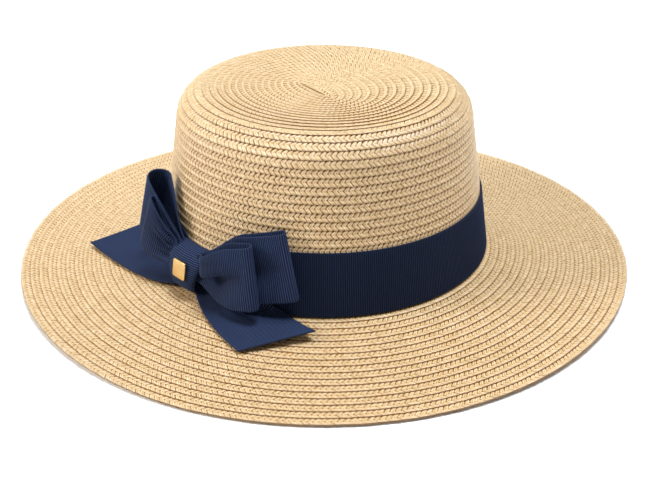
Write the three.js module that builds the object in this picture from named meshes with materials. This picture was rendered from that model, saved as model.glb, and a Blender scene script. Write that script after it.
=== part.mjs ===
// Straw boater hat: sewn braid brim and crown, grosgrain band, and a double bow with a small metal plate.
// Millimetres, +Z up. The origin is the middle of the brim's outline on the surface that the hat rests on.
// The wearer's front is -Y. Angles in the plan are counted from +X towards +Y.
import * as THREE from 'three';
import { mergeVertices } from 'three/addons/utils/BufferGeometryUtils.js';

const degree = Math.PI / 180;

// Brim
const brimDiameter = 348;
const brimThickness = 1.6;
const brimRowWidth = 4.8;
const brimRise = 5.7;
const rimFlatWidth = 7;
const sideLift = 3.5;
const sideLiftAngle = -41 * degree;
const restShare = 0.8;
const braidRidge = 0.9;
const braidStep = 0.45;
const brimSegments = 44;

// Crown
const crownBaseDiameter = 187.2;
const crownHeight = 93.3;
const crownTaper = 13.7;
const crownThickness = 1.8;
const crownRowWidth = 4.55;
const shoulderRadius = 16.4;
const tipRise = 1.5;
const crownOffsetX = 2.0;
const crownOffsetY = 1.7;
const slitLength = 25;
const slitAngle = -90 * degree;
const crownSegments = 40;

// Band and ribbon
const bandHeight = 34.8;
const ribbonThickness = 1.0;
const ribbonWidth = 36;

// Bow
const bowAngle = -174.2 * degree;
const bowHeight = 13.8;
const knotHeight = 23.5;
const knotWidth = 22;
const knotDepth = 12.5;
const loopRaise = 4.3;
const pinchedWidth = 16;
const bandPinch = 12;
const bandPinchLength = 26;
const pleatDepth = 2.6;
const plateWidth = 10.5;
const plateHeight = 11.5;
const plateThickness = 1.0;
const plateCorner = 1.2;
const plateBevel = 0.3;
const plateTilt = 8 * degree;
const plateShift = 1.5;
const plateRaise = 2.0;

// Clearances
const seatGap = 0.3;
const clothGap = 0.5;

// Shares: rings of the brim's underside between the head opening and the rim, and the points of the
// crown's lining face along its section, closer together round the shoulder
const undersideRings = [0, 0.3, 0.6];
const innerShares = [0, 0.2, 0.4, 0.46, 0.5, 0.54, 0.7, 1];
// How square the knot's edges are, the width of a loop's pleat, and over how many ribbon widths a tail
// opens and comes down from the knot
const knotRounding = 0.35;
const pleatSpread = 0.45;
const tailOpening = 1.6;
const tailDescent = 0.3;

// Worked out from the sizes above
const brimRadius = brimDiameter / 2;
const crownBaseRadius = crownBaseDiameter / 2;
const headRadius = crownBaseRadius - crownThickness;
const crownBase = brimRise + brimThickness + seatGap;
const wallLean = Math.atan2(crownTaper, crownHeight);
const bandBottom = crownBase + seatGap;
const bandTop = bandBottom + bandHeight;
const bowCentre = bandBottom + bowHeight;
const loopCentre = bowCentre + loopRaise;

const straw = new THREE.MeshStandardMaterial({ color: 0xd9b983, roughness: 0.75, metalness: 0 });
const navy = new THREE.MeshStandardMaterial({ color: 0x1d2a4d, roughness: 0.8, metalness: 0 });
const navyBand = navy.clone();
const gold = new THREE.MeshStandardMaterial({ color: 0xd9a94a, roughness: 0.3, metalness: 1 });

const smooth = (x) => THREE.MathUtils.smoothstep(x, 0, 1);
const mix = (a, b, share) => a + (b - a) * share;

// Radius of the crown's outer wall at a height, round the crown's own axis
function wallRadius(z) {
  return crownBaseRadius - (z - crownBase) * Math.tan(wallLean);
}

// Radius of the band's outer face at a height
function bandRadius(z) {
  return wallRadius(z) + seatGap + ribbonThickness;
}

// Share of the way across the brim, 0 at the head opening and 1 at the rim
function brimShare(radius) {
  return THREE.MathUtils.clamp((radius - headRadius) / (brimRadius - headRadius), 0, 1);
}

// How far the rim stands off the surface: the sides lift, and an arc at each end stays down
function rimLift(angle) {
  const wave = (Math.cos(2 * (angle - sideLiftAngle)) + restShare) / (1 + restShare);
  return sideLift * Math.max(0, wave);
}

// Height of the brim's underside
function brimUnderside(radius, angle) {
  const flatShare = 1 - rimFlatWidth / (brimRadius - headRadius);
  const inner = 1 - Math.min(1, brimShare(radius) / flatShare);
  return brimRise * inner ** 2 + rimLift(angle) * brimShare(radius) ** 1.5;
}

// A lathe stands on Y, so it is turned up to Z, and its doubled points are merged
function turned(profile, segments) {
  const lathe = new THREE.LatheGeometry(profile, segments);
  lathe.rotateX(Math.PI / 2);
  lathe.deleteAttribute('normal');
  lathe.deleteAttribute('uv');
  return mergeVertices(lathe, 1e-3);
}

function movePoints(geometry, move) {
  const position = geometry.attributes.position;
  const point = new THREE.Vector3();
  for (let i = 0; i < position.count; i += 1) {
    point.fromBufferAttribute(position, i);
    move(point);
    position.setXYZ(i, point.x, point.y, point.z);
  }
  geometry.computeVertexNormals();
  return geometry;
}

// Brim: a flat ring of braid rows, each row's outer edge standing proud of the next row
function brimGeometry() {
  const profile = undersideRings.map((share) => new THREE.Vector2(mix(headRadius, brimRadius, share), 0));
  profile.push(new THREE.Vector2(brimRadius - rimFlatWidth, 0));
  profile.push(new THREE.Vector2(brimRadius, 0));
  profile.push(new THREE.Vector2(brimRadius, brimThickness + braidRidge / 2));
  const firstRow = bandRadius(crownBase) + seatGap;
  const rows = Math.max(1, Math.round((brimRadius - firstRow) / brimRowWidth));
  const rowWidth = (brimRadius - firstRow) / rows;
  for (let row = rows - 1; row > 0; row -= 1) {
    const edge = firstRow + row * rowWidth;
    profile.push(new THREE.Vector2(edge + braidStep, brimThickness));
    profile.push(new THREE.Vector2(edge, brimThickness + braidRidge));
  }
  profile.push(new THREE.Vector2(firstRow, brimThickness));
  profile.push(new THREE.Vector2(headRadius, brimThickness));
  profile.push(profile[0].clone());
  return movePoints(turned(profile, brimSegments), (point) => {
    const radius = Math.hypot(point.x, point.y);
    const inward = 1 - brimShare(radius) ** 1.5;
    point.z += brimUnderside(radius, Math.atan2(point.y, point.x));
    point.x += crownOffsetX * inward;
    point.y += crownOffsetY * inward;
  });
}

// Crown's section from the middle of the tip over the shoulder and down the wall, as radius and height
function crownSection() {
  const centreHeight = crownBase + crownHeight - shoulderRadius;
  const toAxis = (centreHeight - crownBase) * Math.tan(wallLean) + shoulderRadius / Math.cos(wallLean);
  const centreRadius = crownBaseRadius - toAxis;
  const tipSlope = Math.atan2(2 * tipRise, centreRadius);
  const edgeRadius = centreRadius + shoulderRadius * Math.sin(tipSlope);
  const edgeHeight = centreHeight + shoulderRadius * Math.cos(tipSlope);
  const top = edgeHeight + (edgeRadius / 2) * Math.tan(tipSlope);
  const section = new THREE.Path();
  section.moveTo(0, top);
  section.quadraticCurveTo(edgeRadius / 2, top, edgeRadius, edgeHeight);
  section.absarc(centreRadius, centreHeight, shoulderRadius, Math.PI / 2 - tipSlope, wallLean, true);
  section.lineTo(crownBaseRadius, crownBase);
  return section;
}

// A point of a section moved off it along its outward normal
function offSection(section, share, distance) {
  const point = section.getPointAt(share);
  const along = section.getTangentAt(share);
  return new THREE.Vector2(Math.max(0, point.x - along.y * distance), point.y + along.x * distance);
}

// Crown: rows of braid from the slit in the tip to the band, and a plain stretch behind the band
function crownGeometry() {
  const section = crownSection();
  const length = section.getLength();
  const outer = [offSection(section, 0, braidRidge / 2)];
  for (let edge = crownRowWidth; edge < length; edge += crownRowWidth) {
    const lower = (edge + braidStep) / length;
    if (lower > 1 || section.getPointAt(lower).y < bandTop) break;
    outer.push(offSection(section, edge / length, braidRidge));
    outer.push(offSection(section, lower, 0));
  }
  outer.push(new THREE.Vector2(wallRadius(bandTop), bandTop));
  outer.push(new THREE.Vector2(crownBaseRadius, crownBase));
  const inner = innerShares.map((share) => offSection(section, share, -crownThickness));
  inner[inner.length - 1].y = crownBase;
  const profile = inner.concat(outer.reverse());
  const tipRadius = crownBaseRadius - crownTaper;
  return movePoints(turned(profile, crownSegments), (point) => {
    const radius = Math.hypot(point.x, point.y);
    const stretch = radius > 0 ? (slitLength / 2) * Math.max(0, 1 - radius / tipRadius) ** 1.5 : 0;
    const inTip = point.z > crownBase + crownHeight - shoulderRadius ? 1 : 0;
    const slit = new THREE.Vector2(Math.cos(slitAngle), Math.sin(slitAngle));
    const along = radius > 0 ? (point.x * slit.x + point.y * slit.y) / radius : 0;
    point.x += slit.x * along * stretch * inTip + crownOffsetX;
    point.y += slit.y * along * stretch * inTip + crownOffsetY;
  });
}

// How far the band's upper edge is drawn down near the knot that gathers it
function bandDip(angle) {
  const turns = (angle - bowAngle) / (2 * Math.PI);
  const away = (turns - Math.round(turns)) * 2 * Math.PI * crownBaseRadius;
  return bandPinch * Math.exp(-((away / bandPinchLength) ** 2));
}

// Band: one flat turn of ribbon round the foot of the crown
function bandGeometry() {
  const inside = (z) => wallRadius(z) + seatGap;
  const profile = [
    new THREE.Vector2(inside(bandBottom), bandBottom),
    new THREE.Vector2(bandRadius(bandBottom), bandBottom),
    new THREE.Vector2(bandRadius(bandTop), bandTop),
    new THREE.Vector2(inside(bandTop), bandTop),
    new THREE.Vector2(inside(bandBottom), bandBottom),
  ];
  return movePoints(turned(profile, crownSegments), (point) => {
    const height = (point.z - bandBottom) / bandHeight;
    const angle = Math.atan2(point.y, point.x);
    const level = wallRadius(point.z);
    point.z -= bandDip(angle) * height;
    const closer = wallRadius(point.z) - level;
    point.x += closer * Math.cos(angle) + crownOffsetX;
    point.y += closer * Math.sin(angle) + crownOffsetY;
  });
}

// A point of the bow that follows the band: along it from the knot, off its face, and up
function onBand(along, off, z) {
  const angle = bowAngle + along / bandRadius(bandBottom);
  const radius = bandRadius(z) + off;
  return new THREE.Vector3(
    crownOffsetX + radius * Math.cos(angle),
    crownOffsetY + radius * Math.sin(angle),
    z,
  );
}

// A point in the straight frame of the knot: along the band's tangent, out from the crown's axis, and up
function atKnot(along, out, z) {
  return new THREE.Vector3(
    crownOffsetX + out * Math.cos(bowAngle) - along * Math.sin(bowAngle),
    crownOffsetY + out * Math.sin(bowAngle) + along * Math.cos(bowAngle),
    z,
  );
}

// A closed solid between rings of points, with a flat fan at each end
function loftSolid(rings) {
  const count = rings[0].length;
  const points = rings.flat();
  const faces = [];
  for (let ring = 0; ring + 1 < rings.length; ring += 1) {
    for (let i = 0; i < count; i += 1) {
      const a = ring * count + i;
      const b = ring * count + ((i + 1) % count);
      faces.push(a, b, b + count, a, b + count, a + count);
    }
  }
  const last = points.length - count;
  for (let i = 1; i + 1 < count; i += 1) {
    faces.push(0, i + 1, i);
    faces.push(last, last + i, last + i + 1);
  }
  const geometry = new THREE.BufferGeometry().setFromPoints(points);
  geometry.setIndex(faces);
  geometry.computeVertexNormals();
  return geometry;
}

// A closed sheet of one thickness round a grid of points on its middle surface
function sheetSolid(grid, thickness) {
  const rows = grid.length;
  const columns = grid[0].length;
  const pick = (i, j) => grid[THREE.MathUtils.clamp(i, 0, rows - 1)][THREE.MathUtils.clamp(j, 0, columns - 1)];
  const front = [];
  const back = [];
  for (let i = 0; i < rows; i += 1) {
    for (let j = 0; j < columns; j += 1) {
      const along = new THREE.Vector3().subVectors(pick(i + 1, j), pick(i - 1, j));
      const across = new THREE.Vector3().subVectors(pick(i, j + 1), pick(i, j - 1));
      const normal = along.cross(across).normalize().multiplyScalar(thickness / 2);
      front.push(new THREE.Vector3().addVectors(grid[i][j], normal));
      back.push(new THREE.Vector3().subVectors(grid[i][j], normal));
    }
  }
  const faces = [];
  const offset = rows * columns;
  const index = (i, j) => i * columns + j;
  for (let i = 0; i + 1 < rows; i += 1) {
    for (let j = 0; j + 1 < columns; j += 1) {
      const [a, b, c, d] = [index(i, j), index(i + 1, j), index(i + 1, j + 1), index(i, j + 1)];
      faces.push(a, b, c, a, c, d);
      faces.push(offset + a, offset + c, offset + b, offset + a, offset + d, offset + c);
    }
  }
  const border = [];
  for (let i = 0; i + 1 < rows; i += 1) border.push(index(i, 0));
  for (let j = 0; j + 1 < columns; j += 1) border.push(index(rows - 1, j));
  for (let i = rows - 1; i > 0; i -= 1) border.push(index(i, columns - 1));
  for (let j = columns - 1; j > 0; j -= 1) border.push(index(0, j));
  border.forEach((a, i) => {
    const b = border[(i + 1) % border.length];
    faces.push(a, offset + b, b, a, offset + a, offset + b);
  });
  const geometry = new THREE.BufferGeometry().setFromPoints(front.concat(back));
  geometry.setIndex(faces);
  geometry.computeVertexNormals();
  return geometry;
}

// Knot: a wrap of ribbon over the middle of the bow, wider where it opens at the top.
// Height is a share of knotHeight, half width of knotWidth, and front depth of knotDepth.
const knotSections = [
  { height: 0.0, half: 0.37, front: 0.5 },
  { height: 0.12, half: 0.39, front: 0.8 },
  { height: 0.32, half: 0.43, front: 0.96 },
  { height: 0.55, half: 0.5, front: 1.0 },
  { height: 0.78, half: 0.59, front: 0.92 },
  { height: 0.93, half: 0.62, front: 0.68 },
  { height: 1.0, half: 0.62, front: 0.36 },
];

const knotFoot = bowCentre - knotHeight / 2;

// Half width of the knot at a height, straight between its sections
function knotHalf(z) {
  const share = THREE.MathUtils.clamp((z - knotFoot) / knotHeight, 0, 1);
  const above = Math.max(1, knotSections.findIndex((section) => section.height >= share));
  const low = knotSections[above - 1];
  const high = knotSections[above];
  return knotWidth * mix(low.half, high.half, (share - low.height) / (high.height - low.height));
}

function knotGeometry() {
  const rings = knotSections.map((section) => {
    const z = knotFoot + knotHeight * section.height;
    const half = knotWidth * section.half;
    const back = clothGap;
    const front = knotDepth * section.front;
    const round = Math.min(half, front - back) * knotRounding;
    return [
      onBand(-half, back, z),
      onBand(-half / 2, back, z),
      onBand(0, back, z),
      onBand(half / 2, back, z),
      onBand(half, back, z),
      onBand(half, front - round, z),
      onBand(half - round, front - round * 0.25, z),
      onBand(0, front, z),
      onBand(-half + round, front - round * 0.25, z),
      onBand(-half, front - round, z),
    ];
  });
  return loftSolid(rings.reverse());
}

// Loops. Reach is the distance from the knot's middle to the fold, climb the fold's height over the knot
// and width the fold's width, as shares of ribbonWidth. Lean is the fold's tilt, and spread how soon it opens.
// The four depths of the two layers are shares of knotDepth.
const loops = {
  bow_loop_right_back: {
    side: 1, reach: 1.71, climb: 0.33, width: 1, lean: 12, spread: 1.8,
    nearIn: 0.28, nearOut: 0.44, farIn: 0.3, farOut: 0.72, pleat: 0.2,
  },
  bow_loop_right_front: {
    side: 1, reach: 1.27, climb: 0.21, width: 0.92, lean: 8, spread: 1.3,
    nearIn: 0.59, nearOut: 0.77, farIn: 0.9, farOut: 1.42, pleat: 1,
  },
  bow_loop_left_back: {
    side: -1, reach: 1.19, climb: 0.48, width: 1, lean: 14, spread: 1.15,
    nearIn: 0.28, nearOut: 0.44, farIn: 0.24, farOut: 1.34, pleat: 0.2,
  },
  bow_loop_left_front: {
    side: -1, reach: 0.7, climb: 0.46, width: 0.86, lean: 16, spread: 1.15,
    nearIn: 0.59, nearOut: 0.77, farIn: 1.3, farOut: 1.55, pleat: 0.5,
  },
};

function loopGeometry(loop) {
  const legSteps = 6;
  const turnSteps = 4;
  const widthSteps = 4;
  const lean = loop.lean * degree;
  const turn = ((loop.farOut - loop.farIn) * knotDepth) / 2;
  const middle = ((loop.farOut + loop.farIn) * knotDepth) / 2;
  const foldAlong = loop.reach * ribbonWidth - turn;
  const foldHeight = loopCentre + loop.climb * ribbonWidth;
  const stations = [];
  for (let i = 0; i <= legSteps; i += 1) {
    const share = i / legSteps;
    const off = knotDepth * mix(loop.nearIn, loop.farIn, smooth(share));
    stations.push({ share, past: 0, off, pleat: 0 });
  }
  for (let i = 1; i < turnSteps; i += 1) {
    const angle = (Math.PI * i) / turnSteps;
    stations.push({ share: 1, past: turn * Math.sin(angle), off: middle - turn * Math.cos(angle), pleat: 0 });
  }
  for (let i = legSteps; i >= 0; i -= 1) {
    const share = i / legSteps;
    const off = knotDepth * mix(loop.nearOut, loop.farOut, smooth(share));
    stations.push({ share, past: 0, off, pleat: 4 * share * (1 - share) * loop.pleat });
  }
  const grid = stations.map((station) => {
    const opened = smooth(station.share * loop.spread);
    const half = mix(pinchedWidth, loop.width * ribbonWidth, opened) / 2;
    const row = [];
    for (let j = 0; j <= widthSteps; j += 1) {
      const across = (2 * j) / widthSteps - 1;
      const startHeight = loopCentre + (across * pinchedWidth) / 2;
      const start = knotHalf(startHeight) + clothGap + seatGap;
      const end = foldAlong - across * half * Math.sin(lean);
      const along = mix(start, end, station.share) + station.past * Math.cos(lean);
      const climb = mix(0, foldHeight - loopCentre, station.share);
      const height = loopCentre + climb + across * half * mix(1, Math.cos(lean), opened);
      const dip = pleatDepth * station.pleat * Math.exp(-((across / pleatSpread) ** 2));
      row.push(onBand(loop.side * along, station.off - dip, height + station.past * Math.sin(lean)));
    }
    return loop.side > 0 ? row : row.reverse();
  });
  return sheetSolid(grid, ribbonThickness);
}

// Tails: out along the tangent, flat on the brim, the inner edge turned up where the band is near.
// Length, outward and settle are shares of ribbonWidth, turn is the drift inwards, and cut the end's slant.
const tails = {
  bow_tail_right: { side: 1, length: 1.94, outward: 0.6, settle: 0.83, turn: 0, cut: 28, curl: 0.06 },
  bow_tail_left: { side: -1, length: 2.3, outward: 0.5, settle: 0.56, turn: 0.07, cut: -8, curl: 0.05 },
};

function tailGeometry(tail) {
  const lengthSteps = 9;
  const widthSteps = 5;
  const length = tail.length * ribbonWidth;
  const start = knotHalf(knotFoot + pinchedWidth) + clothGap;
  const foot = bandRadius(bandBottom);
  const leanDistance = clothGap + ribbonThickness / 2;
  const corner = ribbonThickness;
  const grid = [];
  for (let i = 0; i <= lengthSteps; i += 1) {
    const share = i / lengthSteps;
    const row = [];
    for (let j = 0; j <= widthSteps; j += 1) {
      const inward = j / widthSteps;
      const slant = (inward - 0.5) * ribbonWidth * Math.tan(tail.cut * degree) * smooth(share);
      const along = start + (length - start) * share + slant;
      const width = mix(pinchedWidth, ribbonWidth, smooth(along / (tailOpening * ribbonWidth)));
      const spread = 1 - Math.exp(-along / (tail.settle * ribbonWidth));
      const outer = foot + leanDistance + tail.outward * ribbonWidth * spread - tail.turn * along;
      const wall = Math.sqrt(Math.max(0, foot ** 2 - along ** 2)) + leanDistance;
      const inside = inward * width;
      const up = corner * Math.log(1 + Math.exp((inside - (outer - wall)) / corner));
      const out = outer - (inside - up) - up * Math.tan(wallLean);
      const spot = atKnot(tail.side * along, out, 0);
      const fromAxis = new THREE.Vector2(spot.x - crownOffsetX, spot.y - crownOffsetY);
      const radius = fromAxis.length();
      const surface = brimUnderside(radius, fromAxis.angle()) + brimThickness + braidRidge;
      const pull = (knotFoot - surface - clothGap) * Math.exp(-(along - start) / (tailDescent * ribbonWidth));
      const curl = tail.curl * ribbonWidth * share ** 4;
      spot.z = surface + clothGap + ribbonThickness / 2 + up + Math.max(0, pull) + curl;
      const clear = bandRadius(spot.z) + leanDistance;
      if (radius < clear) {
        spot.x = crownOffsetX + (fromAxis.x / radius) * clear;
        spot.y = crownOffsetY + (fromAxis.y / radius) * clear;
      }
      row.push(spot);
    }
    grid.push(tail.side > 0 ? row : row.reverse());
  }
  return sheetSolid(grid, ribbonThickness);
}

// Plate: a small rounded rectangle with eased edges, flat on the front of the knot
function plateGeometry() {
  const half = { x: plateWidth / 2 - plateBevel, y: plateHeight / 2 - plateBevel };
  const outline = new THREE.Shape();
  outline.moveTo(-half.x + plateCorner, -half.y);
  outline.lineTo(half.x - plateCorner, -half.y);
  outline.absarc(half.x - plateCorner, -half.y + plateCorner, plateCorner, -Math.PI / 2, 0);
  outline.absarc(half.x - plateCorner, half.y - plateCorner, plateCorner, 0, Math.PI / 2);
  outline.absarc(-half.x + plateCorner, half.y - plateCorner, plateCorner, Math.PI / 2, Math.PI);
  outline.absarc(-half.x + plateCorner, -half.y + plateCorner, plateCorner, Math.PI, 1.5 * Math.PI);
  return new THREE.ExtrudeGeometry(outline, {
    depth: plateThickness - 2 * plateBevel,
    bevelThickness: plateBevel,
    bevelSize: plateBevel,
    bevelSegments: 1,
    curveSegments: 3,
  });
}

// The plate's own frame: X along the band, Y up the knot, Z out of it
function placePlate(mesh) {
  const seat = onBand(plateShift, knotDepth + clothGap + plateBevel, bowCentre + plateRaise);
  const out = atKnot(0, 1, 0).sub(atKnot(0, 0, 0));
  const up = new THREE.Vector3(0, 0, 1).addScaledVector(out, -Math.tan(wallLean)).normalize();
  const along = new THREE.Vector3().crossVectors(up, out).normalize();
  const face = new THREE.Vector3().crossVectors(along, up).normalize();
  mesh.matrix.makeBasis(along, up, face);
  mesh.quaternion.setFromRotationMatrix(mesh.matrix);
  mesh.rotateZ(plateTilt);
  mesh.position.copy(seat);
  return mesh;
}

function piece(name, geometry, material) {
  const mesh = new THREE.Mesh(geometry, material);
  mesh.name = name;
  return mesh;
}

const hat = new THREE.Group();
hat.add(piece('brim', brimGeometry(), straw));
hat.add(piece('crown', crownGeometry(), straw));
hat.add(piece('hat_band', bandGeometry(), navyBand));
hat.add(piece('bow_knot', knotGeometry(), navy));
for (const [name, loop] of Object.entries(loops)) {
  hat.add(piece(name, loopGeometry(loop), navy));
}
for (const [name, tail] of Object.entries(tails)) {
  hat.add(piece(name, tailGeometry(tail), navy));
}
hat.add(placePlate(piece('bow_plate', plateGeometry(), gold)));

export default hat;
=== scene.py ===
"""Straw boater hat: sewn braid brim and crown, grosgrain band, double bow with a small gold plate.

Sizes are in millimetres and are turned to metres as each mesh is made.
"""
import math

import bpy
import numpy as np
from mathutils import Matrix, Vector


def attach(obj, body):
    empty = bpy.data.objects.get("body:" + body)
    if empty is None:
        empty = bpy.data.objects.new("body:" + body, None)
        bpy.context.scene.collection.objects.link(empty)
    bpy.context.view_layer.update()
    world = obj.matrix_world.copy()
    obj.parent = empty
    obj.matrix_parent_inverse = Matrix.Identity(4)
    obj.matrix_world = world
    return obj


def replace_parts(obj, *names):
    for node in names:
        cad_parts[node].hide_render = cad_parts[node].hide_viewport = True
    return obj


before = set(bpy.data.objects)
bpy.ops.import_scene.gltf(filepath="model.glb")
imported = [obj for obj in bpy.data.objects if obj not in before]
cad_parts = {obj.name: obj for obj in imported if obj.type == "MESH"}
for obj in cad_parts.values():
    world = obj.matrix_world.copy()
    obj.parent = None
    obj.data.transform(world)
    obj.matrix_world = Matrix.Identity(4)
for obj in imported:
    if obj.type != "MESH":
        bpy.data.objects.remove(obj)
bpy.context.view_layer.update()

MM = 0.001
DEGREE = math.pi / 180

# Brim: its rows of braid are BRIM_ROW wide, and each one steps down by ROW_STEP at the next row's edge
BRIM_RADIUS = 174.0
BRIM_THICKNESS = 1.6
BRIM_ROW = 4.8
BRIM_RISE = 5.7
RIM_FLAT = 7.0
SIDE_LIFT = 3.5
SIDE_LIFT_ANGLE = -41 * DEGREE
REST_SHARE = 0.8
LIFT_POWER = 1.5
ROW_RIDGE = 0.9
ROW_STEP = 0.7
TIP_STEP = 0.28

# Crown: SLIT is the length of the gap that the braid starts from, START_SHIFT moves it off the tip's middle
FOOT_RADIUS = 93.6
CROWN_HEIGHT = 93.3
CROWN_TAPER = 13.7
CROWN_THICKNESS = 1.8
CROWN_ROW = 4.554
FIRST_CROWN_ROW = 3.77
SHOULDER = 16.4
TIP_RISE = 1.5
CROWN_X = 2.0
CROWN_Y = 1.7
SLIT = 24.5
START_SHIFT = (-12.6, -5.8)
SLIT_GAP = 0.6
SLIT_POWER = 1.5
START_FADE = 70.0
SLIT_ANGLE = -90 * DEGREE
TIP_ROWS = 16
SECTION_PITCH = 0.2

# Braid: the closed base lies BASE_SINK under the strands, or HIDDEN_SINK on the sides that face down or in
STITCH = 2.78
BASE_SINK = 0.4
HIDDEN_SINK = 0.35
STRAND_RISE = 0.26
STRAND_WIDTH = 0.89
ARM_ROUNDING = 0.14
ROW_SHIFT = 0.37
TONE_SHIFT = 0.37
EDGE_FALL = 0.12
RIM_INSET = 1.2
BELOW_INSET = 0.4
BELOW_STEP = 0.35
INSIDE_STEP = 0.4
BAND_COVER = 2.5
TURN_SPREAD = 0.09
SIZE_SPREAD = 0.05

# Band and bow: RIBBON is the width of the ribbon, RIB the distance from rib to rib
SEAT_GAP = 0.3
CLOTH_GAP = 0.5
BAND_HEIGHT = 34.8
RIBBON = 36.0
RIBBON_THICKNESS = 0.8
CAD_RIBBON_THICKNESS = 1.0
RIB = 1.12
RIB_RISE = 0.15
RIB_CUTS = 3
SELVEDGE = 0.07
SELVEDGE_RISE = 0.05
WARP = 0.35
BOW_ANGLE = -174.2 * DEGREE
BOW_HEIGHT = 13.8
KNOT_HEIGHT = 23.5
KNOT_WIDTH = 22.0
KNOT_DEPTH = 12.5
LOOP_RAISE = 4.3
PLATE_WIDTH = 10.3
PLATE_HEIGHT = 10.1
PLATE_THICKNESS = 1.3
PLATE_TURN = 1 * DEGREE
PLATE_RAISE = 0.8
PLATE_CORNERS = 0.22
PINCHED = 16.0
BAND_PINCH = 12.0
BAND_PINCH_LENGTH = 26.0
PLEAT_DEPTH = 2.6
TUCK = 5.0
TAIL_OPENING = 1.6
TAIL_DESCENT = 0.3

# Worked out from the sizes above
HEAD_RADIUS = FOOT_RADIUS - CROWN_THICKNESS
CROWN_BASE = BRIM_RISE + BRIM_THICKNESS + SEAT_GAP
WALL_LEAN = math.atan2(CROWN_TAPER, CROWN_HEIGHT)
TIP_RADIUS = FOOT_RADIUS - CROWN_TAPER
SHOULDER_FOOT = CROWN_BASE + CROWN_HEIGHT - SHOULDER
BAND_BOTTOM = CROWN_BASE + SEAT_GAP
BAND_TOP = BAND_BOTTOM + BAND_HEIGHT
BOW_CENTRE = BAND_BOTTOM + BOW_HEIGHT
LOOP_CENTRE = BOW_CENTRE + LOOP_RAISE
KNOT_FOOT = BOW_CENTRE - KNOT_HEIGHT / 2


def smooth(x):
    """An even rise from 0 to 1, flat at both ends."""
    x = np.clip(x, 0, 1)
    return x * x * (3 - 2 * x)


def mix(a, b, share):
    """From a at share 0 to b at share 1."""
    return a + (b - a) * share


def bump_at(x, place, spread):
    """A soft bump of height 1 at a place."""
    return np.exp(-(((x - place) / spread) ** 2))


# Shapes of the hat

def brim_share(radius):
    """0 at the crown's foot and 1 at the brim's edge."""
    return np.clip((radius - HEAD_RADIUS) / (BRIM_RADIUS - HEAD_RADIUS), 0, 1)


def brim_underside(radius, angle):
    """Height of the brim's underside: dished at the crown, its sides lifted at the rim."""
    flat = 1 - RIM_FLAT / (BRIM_RADIUS - HEAD_RADIUS)
    share = brim_share(radius)
    inner = 1 - np.minimum(1, share / flat)
    wave = (np.cos(2 * (angle - SIDE_LIFT_ANGLE)) + REST_SHARE) / (1 + REST_SHARE)
    return BRIM_RISE * inner**2 + SIDE_LIFT * np.maximum(0, wave) * share**LIFT_POWER


def on_brim(radius, angle, off):
    """A point off the brim's underside, its ring shifted with the crown as it comes near to it."""
    inward = 1 - brim_share(radius) ** LIFT_POWER
    z = brim_underside(radius, angle) + off
    x = radius * np.cos(angle) + CROWN_X * inward
    return np.stack([x, radius * np.sin(angle) + CROWN_Y * inward, z + 0 * x], -1)


def brim_top(radius, angle, off):
    """A point off the brim's upper face."""
    return on_brim(radius, angle, BRIM_THICKNESS + off)


def brim_below(radius, angle, off):
    """A point off the brim's lower face, up far enough for the strands to lie on the table."""
    return on_brim(radius, angle, STRAND_RISE + 0.1 - off)


def crown_section():
    """Radius and height of the crown's outside, in small steps from the middle of the tip to its foot."""
    centre = FOOT_RADIUS - (SHOULDER_FOOT - CROWN_BASE) * math.tan(WALL_LEAN) - SHOULDER / math.cos(WALL_LEAN)
    slope = math.atan2(2 * TIP_RISE, centre)
    edge = centre + SHOULDER * math.sin(slope)
    edge_z = SHOULDER_FOOT + SHOULDER * math.cos(slope)
    top = edge_z + edge / 2 * math.tan(slope)
    t = np.linspace(0, 1, 80)
    turn = np.linspace(math.pi / 2 - slope, WALL_LEAN, 80)[1:]
    wall = np.linspace(0, 1, 80)[1:]
    shoulder_r = centre + SHOULDER * np.cos(turn)
    shoulder_z = SHOULDER_FOOT + SHOULDER * np.sin(turn)
    tip_z = mix(top, edge_z, t * t)
    r = np.concatenate([t * edge, shoulder_r, mix(shoulder_r[-1], FOOT_RADIUS, wall)])
    z = np.concatenate([tip_z, shoulder_z, mix(shoulder_z[-1], CROWN_BASE, wall)])
    length = np.concatenate([[0], np.cumsum(np.hypot(np.diff(r), np.diff(z)))])
    even = np.arange(0, length[-1], SECTION_PITCH)
    return np.interp(even, length, r), np.interp(even, length, z), even


SECTION_R, SECTION_Z, SECTION_S = crown_section()
CROWN_LENGTH = SECTION_S[-1]
NORMAL_R = -np.gradient(SECTION_Z, SECTION_S)
NORMAL_Z = np.gradient(SECTION_R, SECTION_S)


def on_crown(s, angle, off):
    """A point off the crown's outside, by its distance from the middle of the tip and its angle."""
    r = np.interp(s, SECTION_S, SECTION_R) + np.interp(s, SECTION_S, NORMAL_R) * off
    z = np.interp(s, SECTION_S, SECTION_Z) + np.interp(s, SECTION_S, NORMAL_Z) * off
    r = np.maximum(r, 0)
    stretch = SLIT / 2 * np.maximum(0, 1 - r / TIP_RADIUS) ** SLIT_POWER
    along = np.cos(angle - SLIT_ANGLE) * stretch * np.where(z > SHOULDER_FOOT, 1, 0)
    aside = 1 - smooth(s / START_FADE)
    x = r * np.cos(angle) + math.cos(SLIT_ANGLE) * along + CROWN_X + START_SHIFT[0] * aside
    y = r * np.sin(angle) + math.sin(SLIT_ANGLE) * along + CROWN_Y + START_SHIFT[1] * aside
    return np.stack([x, y, z + 0 * x], -1)


def crown_in(s, angle, off):
    """A point off the crown's inside."""
    return on_crown(s, angle, -CROWN_THICKNESS + STRAND_RISE - off)


def wall_radius(z):
    """Radius of the crown's wall at a height."""
    return FOOT_RADIUS - (z - CROWN_BASE) * math.tan(WALL_LEAN)


def band_radius(z):
    """Radius of the band's outer face at a height."""
    return wall_radius(z) + SEAT_GAP + CAD_RIBBON_THICKNESS


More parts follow.
